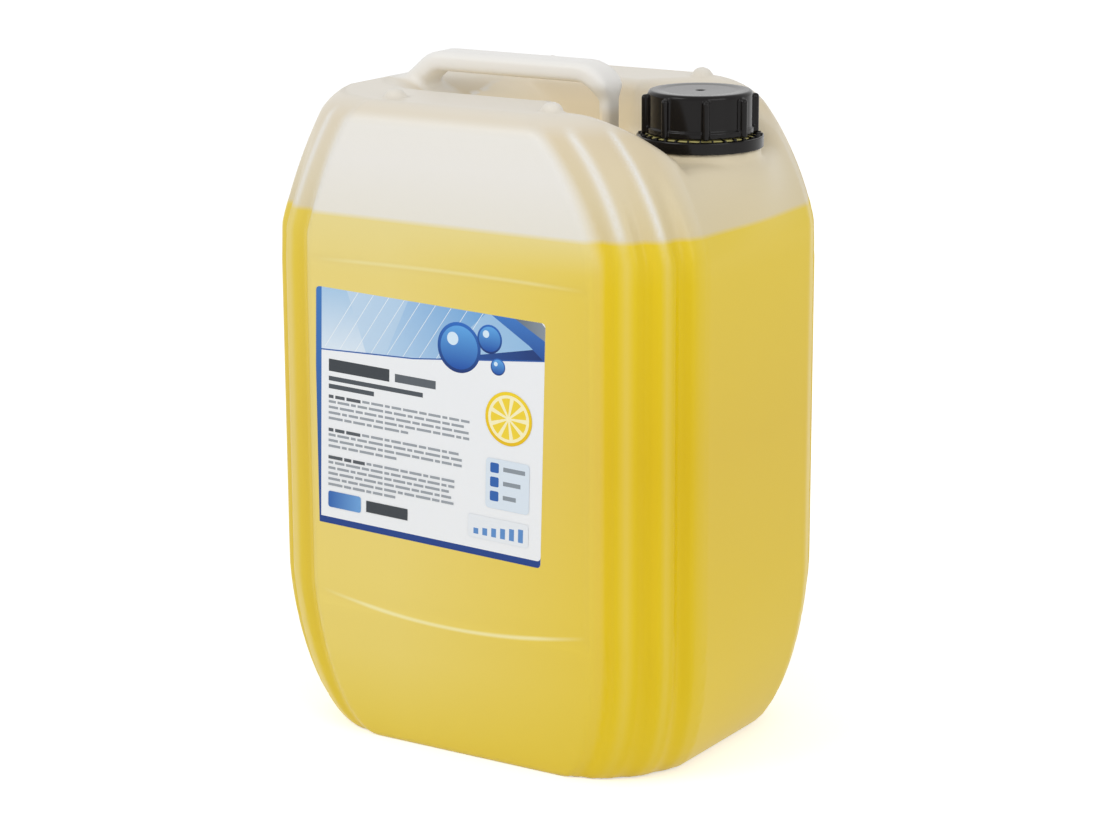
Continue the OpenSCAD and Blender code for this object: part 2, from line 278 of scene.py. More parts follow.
def flute(angle, z):
    """How far the three upright flutes of a corner dip in, at an angle through it."""
    through = sum(np.sin(math.pi * share((angle - start) / FLUTE_ANGLE)) for start in FLUTE_STARTS)
    fade = share((FLUTE_TOP_Z - z) / FLUTE_FADE) * lerp(FOOT_FLUTE, 1, share(z / FOOT_FLUTE_Z))
    return FLUTE_DEPTH * fade * through**FLUTE_SHARPNESS


def sunk(angle, z):
    """How far a corner lies inside its full round, with a step beside the front high up."""
    depth = CORNER_SINK * lerp(FOOT_SINK, 1, share(z / FOOT_SINK_Z))
    step = share(angle / 4) * share((90 - angle) / 30) * share((z - EDGE_STEP_Z) / EDGE_STEP_FADE)
    return depth * np.sin(np.radians(2 * share(angle / 90) * 90)) ** SINK_FULLNESS + EDGE_STEP * step


def corner_place(x, y, z):
    """How far a point is past the flats of the ends and sides, where the corners begin."""
    near = reach(z, NECK_END_TOP, NECK_END_FULLNESS) - CORNER_R
    far = reach(z, FAR_END_TOP, FAR_END_FULLNESS) - CORNER_R
    return np.where(x > 0, x - near, -x - far), np.abs(y) - side(z) + CORNER_R, near


def outline_gap(x, y, z):
    """Level distance to the body's outline at a height."""
    past_x, past_y, near = corner_place(x, y, z)
    across = side(z) - CORNER_R
    angle = np.degrees(np.arctan2(np.maximum(past_x, 1e-9), np.maximum(past_y, 1e-9)))
    corner = np.hypot(past_x, past_y) - CORNER_R + flute(angle, z) + sunk(angle, z)
    pad = PAD_OUT * share((z - SHOULDER_Z) / (PAD_TOP_Z - SHOULDER_Z))
    swell = np.minimum(pad, BODY_L / 2 - near - CORNER_R) * np.cos(
        math.pi / 2 * np.minimum(np.abs(y) / across, 1)
    ) ** 2
    end = past_x - CORNER_R - np.where(x > 0, swell, 0)
    panel = share((z - PANEL_LOW_Z) / PANEL_EDGE) * share((PANEL_HIGH_Z - z) / PANEL_EDGE)
    front = past_y - CORNER_R + PANEL_RECESS * panel * share(-past_x / PANEL_EDGE)
    return np.where((past_x > 0) & (past_y > 0), corner, np.maximum(end, front))


# The trough under the handle: its half width and its reach both ways, at the floor and at the top
TROUGH_FLOOR_Z, TROUGH_END_R = 336.0, 18.0
TROUGH_HALF_W, TROUGH_FAR, TROUGH_NEAR = (34, 48), (34, 98), (28, 42)


def trough_gap(x, y, z):
    """Level distance to the trough: round at the far end, square at the neck."""
    s = share((z - TROUGH_FLOOR_Z) / (RAIL_H - TROUGH_FLOOR_Z))
    half = lerp(*TROUGH_HALF_W, np.sqrt(s))
    far = lerp(*TROUGH_FAR, s**2.25)
    near = lerp(*TROUGH_NEAR, np.sqrt(share(3 * s)))
    bend_x = half - far
    over_x = x - near + TROUGH_END_R
    over_y = np.abs(y) - half + TROUGH_END_R
    square = (
        np.hypot(np.maximum(over_x, 0), np.maximum(over_y, 0))
        + np.minimum(np.maximum(over_x, over_y), 0)
        - TROUGH_END_R
    )
    return np.where(x < bend_x, np.hypot(x - bend_x, y) - half, square)


# The flat round the neck: half its width and the share of its lean, along the body
POCKET_HALF_W = ([POCKET_START, 62, NECK_X, 165], [48, 50, 50, 64])
POCKET_LEAN_SHARE = ([POCKET_START, 62, NECK_X], [0, 0.8, 1])


def pocket_gap(x, y, z):
    """Level distance to the side walls of the flat round the neck, which lean back."""
    lean = POCKET_LEAN * share((z - POCKET_Z - POCKET_EDGE) / (RAIL_H + 1 - POCKET_Z))
    return np.abs(y) - np.interp(x, *POCKET_HALF_W) - lean * np.interp(x, *POCKET_LEAN_SHARE)


def upright(gap, x, y, z):
    """The same form as a true distance, also where its wall leans."""
    slope = gap(x, y, z + 0.5) - gap(x, y, z - 0.5)
    return gap(x, y, z) / np.sqrt(1 + slope**2)


# The handle is a flat bar that rises from the far rail and comes down as a narrower leg
HANDLE_Z, HANDLE_W, HANDLE_T, HANDLE_ROUND = 405.0, 24.0, 12.0, 4.5
HANDLE_FAR, HANDLE_LEG_X, HANDLE_BEND = -70.0, 43.5, 17.0
LEG_W, LEG_T, LEG_ROUND = 13.0, 8.0, 3.6


def arc(centre_x, first, last):
    """Points of a bend of the handle, as (x, z)."""
    turns = np.radians(np.linspace(first, last, 9))
    return [
        (centre_x + HANDLE_BEND * math.cos(a), HANDLE_Z - HANDLE_BEND + HANDLE_BEND * math.sin(a))
        for a in turns
    ]


handle_line = [
    (-114, HANDLE_Z - 32), *arc(HANDLE_FAR, 135, 90),
    *arc(HANDLE_LEG_X - HANDLE_BEND, 90, 0), (HANDLE_LEG_X, POCKET_Z - 10),
]


def handle(x, y, z):
    """The hollow carrying handle: a rounded bar bent along a line."""
    off = np.full(x.shape, 1e3)
    for (ax, az), (bx, bz) in zip(handle_line, handle_line[1:]):
        long = (bx - ax) ** 2 + (bz - az) ** 2
        t = share(((x - ax) * (bx - ax) + (z - az) * (bz - az)) / long)
        off = np.minimum(off, np.hypot(x - lerp(ax, bx, t), z - lerp(az, bz, t)))
    bend_z = HANDLE_Z - HANDLE_BEND
    leg = share((x - HANDLE_LEG_X + HANDLE_BEND) / HANDLE_BEND) * share((bend_z + 12 - z) / 12)
    leg = leg * leg * (3 - 2 * leg)
    rounding = lerp(HANDLE_ROUND, LEG_ROUND, leg)
    over_y = np.abs(y) - lerp(HANDLE_W, LEG_W, leg) / 2 + rounding
    over_t = off - lerp(HANDLE_T, LEG_T, leg) / 2 + rounding
    return (
        np.hypot(np.maximum(over_y, 0), np.maximum(over_t, 0))
        + np.minimum(np.maximum(over_y, over_t), 0)
        - rounding
    )


RIDGE_W = 15.0
ridge_line = [(40, 358), (41, 382), (49, 382), (64, 367.5), (67, 365.8), (74, 365.5), (74, 358)]


def ridge(x, y, z):
    """The ridge that runs from the handle's leg down to the neck."""
    inside = np.full(x.shape, -1e3)
    for (ax, az), (bx, bz) in zip(ridge_line, ridge_line[1:] + ridge_line[:1]):
        long = math.hypot(bx - ax, bz - az)
        inside = np.maximum(inside, ((x - ax) * (az - bz) + (z - az) * (bx - ax)) / long)
    return shared(inside, np.abs(y) - RIDGE_W / 2, 3)


NUB_R, NUB_RISE, NUB_XS, NUB_Y = 6.8, 5.4, (-50.5, 57.5), BODY_W / 2 - 25


def nubs(x, y, z):
    """The four stacking nubs on the rails."""
    along = np.minimum(np.abs(x - NUB_XS[0]), np.abs(x - NUB_XS[1]))
    sunk_z = z - RAIL_H - NUB_RISE + NUB_R
    return np.sqrt(along**2 + (np.abs(y) - NUB_Y) ** 2 + sunk_z**2) - NUB_R


BOSS_R, BOSS_Z = 35.4, POCKET_Z + 4.7


def canister_form(x, y, z):
    """The whole skin; the last number of each call is a fillet's or an edge's radius."""
    body = np.maximum(upright(outline_gap, x, y, z), np.maximum(z - RAIL_H, -z))
    under = shared(outline_gap(x, y, 0 * z) + RIM_W, z - BASE_RECESS, 3)
    body = shared(body, -under, 1.5)
    pocket = shared(shared(upright(pocket_gap, x, y, z), POCKET_START - x, 8), POCKET_Z - z, 6)
    trough = shared(upright(trough_gap, x, y, z), TROUGH_FLOOR_Z - z, 10)
    body = shared(body, -joined(trough, pocket, 5), 6)
    high = z > TROUGH_FLOOR_Z
    top = body[high]
    at = (x[high], y[high], z[high])
    boss = shared(np.hypot(at[0] - NECK_X, at[1]) - BOSS_R, at[2] - BOSS_Z, 0.8)
    top = joined(top, boss, 3)
    top = joined(top, handle(*at), 6)
    top = joined(top, ridge(*at), 4)
    body[high] = joined(top, nubs(*at), 1.2)
    return body


MOUTH_R, NECK_R, COLLAR_R, BEAD_R, FLANGE_R = 24.2, 26.8, 32.6, 34.2, 35.0
FLANGE_Z = POCKET_Z + 4.9
NECK_Z = FLANGE_Z + 27.4
RING_H, RING_GAP = 6.8, 1.0
SKIRT_Z = FLANGE_Z + RING_H + RING_GAP
COLLAR_Z = SKIRT_Z - 0.8
BEAD_Z = FLANGE_Z + 0.62 * RING_H

SKIN_STEP, MARGIN = 2.6, 3.0
corner_out = np.array([BODY_L / 2, BODY_W / 2, HANDLE_Z + HANDLE_T / 2])
skin_points, skin_faces = netted(
    canister_form, corner_out * (-1, -1, 0) - MARGIN, corner_out + MARGIN, SKIN_STEP,
    lambda c: ~((np.hypot(c[:, 0] - NECK_X, c[:, 1]) < MOUTH_R + 3) & (c[:, 2] > POCKET_Z - 3)),
)
canister = mesh_object("canister_skin", skin_points, skin_faces)

neck_points, neck_faces = turned(
    [
        (FLANGE_R - 1, POCKET_Z - 1), (FLANGE_R - 1, FLANGE_Z), (COLLAR_R, FLANGE_Z),
        (COLLAR_R, BEAD_Z), (BEAD_R, BEAD_Z + 0.6), (BEAD_R - 0.2, BEAD_Z + 1.1),
        (COLLAR_R, BEAD_Z + 2.4), (COLLAR_R, COLLAR_Z - 0.5), (COLLAR_R - 0.5, COLLAR_Z),
        (NECK_R + 0.6, COLLAR_Z), (NECK_R, COLLAR_Z + 0.6), (NECK_R, NECK_Z - 1),
        (NECK_R - 0.3, NECK_Z - 0.3), (NECK_R - 1, NECK_Z), (MOUTH_R + 0.5, NECK_Z),
        (MOUTH_R, NECK_Z - 0.5), (MOUTH_R, POCKET_Z - 2), (MOUTH_R + 3, POCKET_Z - 4),
    ],
    NECK_X,
)
neck = mesh_object("canister_neck", neck_points, neck_faces)

# Natural polyethylene, blow moulded: satin and milky, tinted by the liquid behind it. The tint starts
# at the liquid's level and deepens downwards. A second, darker ramp is a painted shaded copy of it,
# used in the corner flutes, on the end walls, in the trough and on the rails: its deeper yellow is
# partly the liquid's own colour and partly painted shade and painted light coming through the liquid.
TINT_TOP_Z = 420
FLAT_STOPS = (
    (0, "#E8CF4A"), (60, "#EDD66E"), (200, "#EBD47C"), (290, "#EBD67E"), (325, "#EBDA90"),
    (328, "#EAE6DB"), (360, "#EEEBE5"), (388, "#EFECE5"), (401, "#F6F4F0"),
)
# Painted shade: the darker, shaded copy of the tint, for the flutes, end walls, trough and rails
SHADED_TINT_STOPS = (
    (0, "#E6C926"), (60, "#E6C70E"), (200, "#E2C004"), (300, "#E6C708"), (325, "#E8CB2C"),
    (328, "#DCCB9E"), (350, "#DDCEA9"), (388, "#DECFB2"), (401, "#E8E2D6"),
)
LEDGE_HIGHLIGHT_COLOUR, DAYLIGHT = "#F8F0B8", "#F0D8A0"
hdpe, tree = new_material("natural_polyethylene_blown")
place = add_node(tree, "ShaderNodeTexCoord")
split = add_node(tree, "ShaderNodeSeparateXYZ", {"Vector": place.outputs["Object"]})
depth = add_node(tree, "ShaderNodeAttribute", attribute_name="flute")
level = add_node(
    tree, "ShaderNodeMapRange", {"Value": split.outputs["Z"]}, From_Min=0.0, From_Max=TINT_TOP_Z * MM,
)
tints = []
for stops in (FLAT_STOPS, SHADED_TINT_STOPS):
    tints.append(add_node(tree, "ShaderNodeValToRGB", {"Fac": level.outputs["Result"]}))
    ramp = tints[-1].color_ramp
    ramp.elements.remove(ramp.elements[-1])
    for k, (stop_z, colour) in enumerate(stops):
        element = ramp.elements[0] if k == 0 else ramp.elements.new(stop_z / TINT_TOP_Z)
        element.position = stop_z / TINT_TOP_Z
        element.color = linear(colour)
tint = add_node(
    tree, "ShaderNodeMix",
    {0: depth.outputs["Fac"], 6: tints[0].outputs["Color"], 7: tints[1].outputs["Color"]},
    data_type="RGBA",
)

# Painted highlights: where the ledges above and below the label would catch the light, thin pale lines
# are painted: height, bow, strength
LEDGE_LINES = ((PANEL_LOW_Z - 1, 1.1, 0.75), (PANEL_HIGH_Z - 1, -0.2, 0.4))
LINE_CORE, LINE_EDGE, LINE_FADE_X, LINE_END_X = 0.0003, 0.0017, 0.06, 0.094
FRONT_FROM_Y, FRONT_TO_Y = 0.098, 0.103
across = add_node(tree, "ShaderNodeMath", {0: split.outputs["X"]}, operation="ABSOLUTE")
bow = add_node(
    tree, "ShaderNodeMath", {0: across.outputs[0], 1: across.outputs[0]}, operation="MULTIPLY",
)
lines = []
for ledge_z, curve, strength in LEDGE_LINES:
    lifted = add_node(tree, "ShaderNodeMath", {0: bow.outputs[0], 1: curve}, operation="MULTIPLY")
    bent = add_node(
        tree, "ShaderNodeMath", {0: split.outputs["Z"], 1: lifted.outputs[0]}, operation="SUBTRACT",
    )
    gap = add_node(tree, "ShaderNodeMath", {0: bent.outputs[0], 1: ledge_z * MM}, operation="SUBTRACT")
    apart = add_node(tree, "ShaderNodeMath", {0: gap.outputs[0]}, operation="ABSOLUTE")
    lines.append(add_node(
        tree, "ShaderNodeMapRange", {"Value": apart.outputs[0]},
        From_Min=LINE_CORE, From_Max=LINE_EDGE, To_Min=strength, To_Max=0.0,
    ))
either = add_node(
    tree, "ShaderNodeMath", {0: lines[0].outputs[0], 1: lines[1].outputs[0]}, operation="MAXIMUM",
)
ends = add_node(
    tree, "ShaderNodeMapRange", {"Value": across.outputs[0]},
    From_Min=LINE_FADE_X, From_Max=LINE_END_X, To_Min=1.0, To_Max=0.0,
)
front = add_node(tree, "ShaderNodeMath", {0: split.outputs["Y"]}, operation="ABSOLUTE")
face = add_node(
    tree, "ShaderNodeMapRange", {"Value": front.outputs[0]},
    From_Min=FRONT_FROM_Y, From_Max=FRONT_TO_Y,
)
for limit in (ends, face):
    either = add_node(
        tree, "ShaderNodeMath", {0: either.outputs[0], 1: limit.outputs[0]}, operation="MULTIPLY",
    )
# Painted highlight: the pale ledge lines are mixed into the tint
lit = add_node(
    tree, "ShaderNodeMix", {0: either.outputs[0], 6: tint.outputs[2], 7: linear(LEDGE_HIGHLIGHT_COLOUR)},
    data_type="RGBA",
)
# Painted glow: the trough's walls get an emission that stands in for daylight coming through both
# skins, so they are lighter than their shade
through = add_node(tree, "ShaderNodeAttribute", attribute_name="daylight")
shader = add_node(
    tree, "ShaderNodeBsdfPrincipled",
    {"Base Color": lit.outputs[2], "Emission Strength": through.outputs["Fac"]},
    Roughness=0.32, IOR=1.54, Specular_IOR_Level=0.22, Emission_Color=linear(DAYLIGHT),
)
add_node(tree, "ShaderNodeOutputMaterial", {"Surface": shader.outputs["BSDF"]})
canister.data.materials.append(hdpe)

# How much of the darker tint, partly painted shade, each point takes: full in the flutes, less over the
# ribs between them (middle angle and width), where the paler ribs are painted highlights, and in steps
# on the end walls, in the trough and on the rails, which it paints shaded
RIB_HIGHLIGHTS = ((25.5, 4), (56, 3))
END_TINT, TROUGH_TINT, RAIL_TINT, EDGE_TINT = 0.86, 0.55, 0.6, 0.6
LIQUID_Z, TROUGH_DAYLIGHT = 327.0, 0.14
x, y, z = (np.array([v.co for v in canister.data.vertices]) / MM).T
past_x, past_y, _ = corner_place(x, y, z)
angle = np.degrees(np.arctan2(np.maximum(past_x, 0), np.maximum(past_y, 0)))
ribs = sum(np.exp(-(((angle - middle) / width) ** 2)) for middle, width in RIB_HIGHLIGHTS)
# Painted highlights: the ribs are painted paler, most of all above the liquid, and the far corner is
# painted paler than the near one
pale = 0.35 + 0.6 * share((z - LIQUID_Z + 5) / 10)
corner_tint = share(angle / 9) * (1 - pale * ribs - 0.25 * share((angle - 76) / 14))
# Painted light: the far end, on the key light's side, is paler; below the liquid the front and back
# also take more of the darker tint towards the neck's end
corner_tint = corner_tint * lerp(0.75, 1, share((x + 30) / 60))
towards_edge = EDGE_TINT * share((x + 40) / 130) * share((LIQUID_Z - z) / 20)
tint_and_shade = np.where(
    (past_x > 0) & (past_y > 0), np.maximum(corner_tint, towards_edge),
    np.where(past_x > 0, END_TINT, towards_edge),
)
inner = (z > TROUGH_FLOOR_Z - 3) & (np.maximum(past_x, past_y) < -3)
tint_and_shade = lerp(np.where(inner, TROUGH_TINT, tint_and_shade), RAIL_TINT, share((z - 382) / 7))
on_handle = share((HANDLE_W / 2 + 3 - np.abs(y)) / 3) * share((z - 380) / 6) * (x < 55)
# Strength of the painted glow: in the trough, below the rails, short of the handle
daylight = TROUGH_DAYLIGHT * share((392 - z) / 14) * inner * (x < 42) * (1 - on_handle)
for name, values in (("flute", tint_and_shade * (1 - on_handle)), ("daylight", daylight)):
    attribute = canister.data.attributes.new(name, "FLOAT", "POINT")
    attribute.data.foreach_set("value", values.astype(np.float32))

# The same polyethylene at the neck, where it looks yellower: the darker yellow is painted shade, for
# the neck and collar that lie in shade under the ring
shaded_neck_plastic, tree = new_material("natural_polyethylene_neck_shaded")
shader = add_node(
    tree, "ShaderNodeBsdfPrincipled",
    Base_Color=linear("#D9CE86"), Roughness=0.32, IOR=1.54, Specular_IOR_Level=0.22,
)
add_node(tree, "ShaderNodeOutputMaterial", {"Surface": shader.outputs["BSDF"]})
neck.data.materials.append(shaded_neck_plastic)

# The neck's thread: a bead along a spiral, drawn by a node tree and then kept as a mesh
PITCH, THREAD_TURNS, THREAD_BEAD_R, THREAD_START = 6.0, 1.9, 1.15, 6.0
thread_tree, given = new_geometry_tree("neck_thread", {
    "Radius": ("NodeSocketFloat", NECK_R * MM), "Pitch": ("NodeSocketFloat", PITCH * MM),
    "Turns": ("NodeSocketFloat", THREAD_TURNS), "Bead": ("NodeSocketFloat", THREAD_BEAD_R * MM),
})
rise = add_node(
    thread_tree, "ShaderNodeMath", {0: given.outputs["Pitch"], 1: given.outputs["Turns"]},
    operation="MULTIPLY",
)
spiral = add_node(
    thread_tree, "GeometryNodeCurveSpiral",
    {
        "Rotations": given.outputs["Turns"], "Start Radius": given.outputs["Radius"],
        "End Radius": given.outputs["Radius"], "Height": rise.outputs["Value"],
    },
    Resolution=64,
)
bead = add_node(
    thread_tree, "GeometryNodeCurvePrimitiveCircle", {"Radius": given.outputs["Bead"]}, Resolution=10,
)
swept = add_node(
    thread_tree, "GeometryNodeCurveToMesh",
    {"Curve": spiral.outputs["Curve"], "Profile Curve": bead.outputs["Curve"]}, Fill_Caps=True,
)
moved = add_node(
    thread_tree, "GeometryNodeTransform", {"Geometry": swept.outputs["Mesh"]},
    Translation=(NECK_X * MM, 0, (SKIRT_Z + THREAD_START) * MM),
)
real = add_node(thread_tree, "GeometryNodeRealizeInstances", {"Geometry": moved.outputs["Geometry"]})
dressed = add_node(
    thread_tree, "GeometryNodeSetMaterial", {"Geometry": real.outputs["Geometry"]}, Material=shaded_neck_plastic,
)
add_node(thread_tree, "NodeGroupOutput", {"Geometry": dressed.outputs["Geometry"]})
thread = grown("canister_neck_thread", thread_tree)

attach(canister, "can")
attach(neck, "can")
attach(thread, "can")
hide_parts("canister")

# ---------------------------------------------------------------------------------------------
# Detergent. The sealed fill, a clear yellow liquid that stands 327 mm high inside the skin. It
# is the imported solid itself: glossy like water, and hidden while the skin is opaque.
# Yellow dish soap: a clear liquid that refracts like water
liquid, tree = new_material("yellow_detergent")
shader = add_node(
    tree, "ShaderNodeBsdfPrincipled",
    Base_Color=linear("#DCC21E"), Roughness=0.05, IOR=1.34,
)
add_node(tree, "ShaderNodeOutputMaterial", {"Surface": shader.outputs["BSDF"]})
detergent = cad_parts["detergent"]
detergent.data.materials.clear()
detergent.data.materials.append(liquid)

# ---------------------------------------------------------------------------------------------
# Cap. A black injection-moulded polypropylene screw cap with eight grip ribs and a thread inside,
# screwed on the neck. It is glossy, and its top is slightly dished round the gate mark.
CAP_R, CAP_WALL, CAP_TOP = 30.4, 2.0, 3.7
GRIP_OUT, GRIP_W, GRIPS, GRIP_TURN, GRIP_DROP = 3.7, 4.1, 8, 35.7, 2.4
BAND_OUT, BAND_H = 0.8, 3.8
DISH = ([0, 1.6, 3, 21, 25.5, 40], [1.4, 1.2, 0.5, 0.35, 0, 0])
CAP_THREAD_R = 1.1
LINER_T = 1.5
CAP_Z = NECK_Z + LINER_T + CAP_TOP


def cap_form(x, y, z):
    """The cap: a dished cup with a band at its foot, grip ribs round it and a thread inside."""
    x = x - NECK_X
    r = np.hypot(x, y)
    body = shared(r - CAP_R, z - CAP_Z + np.interp(r, *DISH), 2.2)
    band = shared(r - CAP_R - BAND_OUT, z - SKIRT_Z - BAND_H, 0.5)
    body = joined(body, band, 0.6)
    turn = np.arctan2(y, x) - math.radians(GRIP_TURN)
    sector = 2 * math.pi / GRIPS
    turn = (turn + sector / 2) % sector - sector / 2
    along, across = r * np.cos(turn), r * np.sin(turn)
    out = CAP_R + GRIP_OUT - GRIP_W / 2
    top = CAP_Z - GRIP_DROP - GRIP_W / 2
    past, above = np.minimum(out - along, 0), np.maximum(z - top, 0)
    bar = np.maximum(np.sqrt(past**2 + across**2 + above**2) - GRIP_W / 2, CAP_R - 6 - along)
    body = joined(body, bar, 1.0)
    body = shared(body, SKIRT_Z - z, 0.3)
    hollow = shared(r - CAP_R + CAP_WALL, z - CAP_Z + CAP_TOP, 0.4)
    body = np.maximum(body, -hollow)
    turn = np.arctan2(y, x) / (2 * math.pi)
    rise = (z - SKIRT_Z - 3 - PITCH * turn) % PITCH - PITCH / 2
    thread = np.hypot(r - CAP_R + CAP_WALL - 0.1, rise) - CAP_THREAD_R
    thread = np.maximum(thread, np.maximum(SKIRT_Z + 3 - z, z - CAP_Z + 7))
    return np.minimum(body, thread)


CAP_STEP, CAP_REACH = 0.62, 35.2
cap_points, cap_faces = netted(
    cap_form, (NECK_X - CAP_REACH, -CAP_REACH, SKIRT_Z - 1),
    (NECK_X + CAP_REACH, CAP_REACH, CAP_Z + 1), CAP_STEP,
)
cap = mesh_object("cap_moulding", cap_points, cap_faces)

# Polypropylene, injection moulded in black: hard and shiny, with sharp highlights on the ribs
polypropylene, tree = new_material("black_polypropylene_moulded")
shader = add_node(
    tree, "ShaderNodeBsdfPrincipled",
    Base_Color=linear("#100D0D"), Roughness=0.18, IOR=1.49, Specular_IOR_Level=0.22,
)
add_node(tree, "ShaderNodeOutputMaterial", {"Surface": shader.outputs["BSDF"]})
cap.data.materials.append(polypropylene)
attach(cap, "closure")
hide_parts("cap")

# ---------------------------------------------------------------------------------------------
# Tamper ring. The lower band of the same black moulding: it broke from the cap at thin bridges
# and stays on the neck, snapped under the bead. Small stubs of the bridges are left on its top.
RING_R = 37.0
ring_points, ring_faces = turned(
    [
        (COLLAR_R + 0.3, FLANGE_Z), (RING_R - 0.5, FLANGE_Z), (RING_R - 0.1, FLANGE_Z + 0.15),
        (RING_R, FLANGE_Z + 0.5), (RING_R, FLANGE_Z + RING_H - 0.7),
        (RING_R - 0.2, FLANGE_Z + RING_H - 0.2), (RING_R - 0.7, FLANGE_Z + RING_H),
        (COLLAR_R + 0.6, FLANGE_Z + RING_H),
        (COLLAR_R + 0.6, FLANGE_Z + RING_H - 0.8), (BEAD_R + 0.3, FLANGE_Z + RING_H - 1.6),
        (BEAD_R + 0.3, FLANGE_Z + 2.4), (COLLAR_R + 0.3, FLANGE_Z + 1.4),
    ],
    NECK_X, closed=True,
)
ring = mesh_object("tamper_ring_band", ring_points, ring_faces, smooth=False)
ring.data.materials.append(polypropylene)
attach(ring, "can")
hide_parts("tamper_ring")

# What is left of the bridges: small stubs on the ring's top edge, repeated round it
STUBS, STUB_RING_R, STUB_L, STUB_W, STUB_H = 30, 33.2, 4.6, 2.2, 1.0
bridge_tree, given = new_geometry_tree("ring_bridges", {
    "Count": ("NodeSocketInt", STUBS), "Radius": ("NodeSocketFloat", STUB_RING_R * MM),
    "Size": ("NodeSocketVector", (STUB_L * MM, STUB_W * MM, STUB_H * MM)),
})
circle = add_node(
    bridge_tree, "GeometryNodeCurvePrimitiveCircle",
    {"Resolution": given.outputs["Count"], "Radius": given.outputs["Radius"]},
)
spots = add_node(
    bridge_tree, "GeometryNodeCurveToPoints",
    {"Curve": circle.outputs["Curve"]}, mode="EVALUATED",
)
stub = add_node(bridge_tree, "GeometryNodeMeshCube", {"Size": given.outputs["Size"]})
scale = add_node(
    bridge_tree, "FunctionNodeRandomValue", {"Min": (0.5, 0.7, 0.5), "Max": (1.4, 1.0, 1.0)},
    data_type="FLOAT_VECTOR",
)
placed = add_node(
    bridge_tree, "GeometryNodeInstanceOnPoints",
    {
        "Points": spots.outputs["Points"], "Instance": stub.outputs["Mesh"],
        "Rotation": spots.outputs["Rotation"], "Scale": scale.outputs["Value"],
    },
)
moved = add_node(
    bridge_tree, "GeometryNodeTransform", {"Geometry": placed.outputs["Instances"]},
    Translation=(NECK_X * MM, 0, (FLANGE_Z + RING_H + 0.1) * MM),
)
real = add_node(
    bridge_tree, "GeometryNodeRealizeInstances", {"Geometry": moved.outputs["Geometry"]},
)
dressed = add_node(
    bridge_tree, "GeometryNodeSetMaterial", {"Geometry": real.outputs["Geometry"]},
    Material=polypropylene,
)
add_node(bridge_tree, "NodeGroupOutput", {"Geometry": dressed.outputs["Geometry"]})
bridges = grown("tamper_ring_stubs", bridge_tree)
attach(bridges, "can")

# ---------------------------------------------------------------------------------------------
# Cap liner. A disc of white polyethylene foam pressed into the cap, which seals the mouth. It is
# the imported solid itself, and is seen only from below when the cap is off.
# Foamed polyethylene sheet, die cut: matt and off-white
foam, tree = new_material("liner_foam")
shader = add_node(tree, "ShaderNodeBsdfPrincipled", Base_Color=linear("#E8E6DF"), Roughness=0.6)
add_node(tree, "ShaderNodeOutputMaterial", {"Surface": shader.outputs["BSDF"]})
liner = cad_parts["cap_liner"]
liner.data.materials.clear()
liner.data.materials.append(foam)

# ---------------------------------------------------------------------------------------------
# Label. A white self-adhesive film, printed in several inks and stuck by hand in the front recess.
# The print is a set of flat fields in thin layers over the film, each with its own ink.
LABEL_X, LABEL_Z, LABEL_W, LABEL_H = -14.8, 207.0, 161.0, 145.0
LABEL_TURN, LABEL_T = math.radians(1.7), 0.16
LABEL_FRONT = -BODY_W / 2 + PANEL_RECESS - LABEL_T
EDGE_X, EDGE_Z = LABEL_W / 2, LABEL_H / 2
INK_START, INK_STEP = 0.004, 0.0012

prints = []


def box(left, low, right, high, rounding=0.0):
    """Corner points of a rectangle on the label, with rounded corners if asked."""
    if rounding == 0:
        return [(left, low), (right, low), (right, high), (left, high)]
    spots = [
        (right - rounding, low + rounding, -90), (right - rounding, high - rounding, 0),
        (left + rounding, high - rounding, 90), (left + rounding, low + rounding, 180),
    ]
    return [
        (cx + rounding * math.cos(math.radians(a)), cy + rounding * math.sin(math.radians(a)))
        for cx, cy, start in spots for a in range(start, start + 91, 15)
    ]


def disc(cx, cy, r, first=0, last=360):
    """Corner points of a circle on the label, or of an arc of it."""
    count = 49 if last - first < 360 else 48
    turns = [math.radians(first + (last - first) * k / 48) for k in range(count)]
    return [(cx + r * math.cos(a), cy + r * math.sin(a)) for a in turns]


def ink(points, colour, other=None, towards=(0, 1)):
    """One field of ink over the ones before it; with a second colour it fades along a direction."""
    along = [px * towards[0] + py * towards[1] for px, py in points]
    low, high = min(along), max(along)
    first, second = linear(colour), linear(other or colour)
    shades = [
        [lerp(c, d, (t - low) / max(high - low, 1e-6)) for c, d in zip(first, second)] for t in along
    ]
    prints.append((points, shades))


# The blue edge along the left and the foot, and the white field
ink(box(-EDGE_X, -EDGE_Z, EDGE_X, EDGE_Z, 2.5), "#1C3E86", "#3D78C0")
ink(box(-76.4, -68.4, EDGE_X, EDGE_Z, 2.5), "#F0F2F5")
ink(box(-76.4, -68.4, -72, EDGE_Z), "#F0F2F5")
# The band across the top: pale blue with facets and fine lines
ink(
    [(-76.4, 35), (-10, 39), (EDGE_X, 51), (EDGE_X, 70), (78, EDGE_Z), (-76.4, EDGE_Z)],
    "#C9DDF0", "#8FBCE3", (1, 0.4),
)
ink([(-76.4, 35), (-44, 37), (-58, EDGE_Z), (-76.4, EDGE_Z)], "#DCE9F5", "#AACBE9", (0, 1))
ink([(-30, 37.8), (6, 41), (40, EDGE_Z), (-14, EDGE_Z)], "#B4D1EC", "#6FA6DA", (1, 0.6))
ink([(6, 41), (EDGE_X, 51), (EDGE_X, 58)], "#2A5AA6", "#16336F", (1, 0))
ink([(44, EDGE_Z), (78, EDGE_Z), (EDGE_X, 70), (EDGE_X, 50), (70, 58)], "#27509A", "#3F79C4")
ink([(60, EDGE_Z), (78, EDGE_Z), (EDGE_X, 70), (EDGE_X, 62)], "#66727F", "#8A949E", (1, 0))
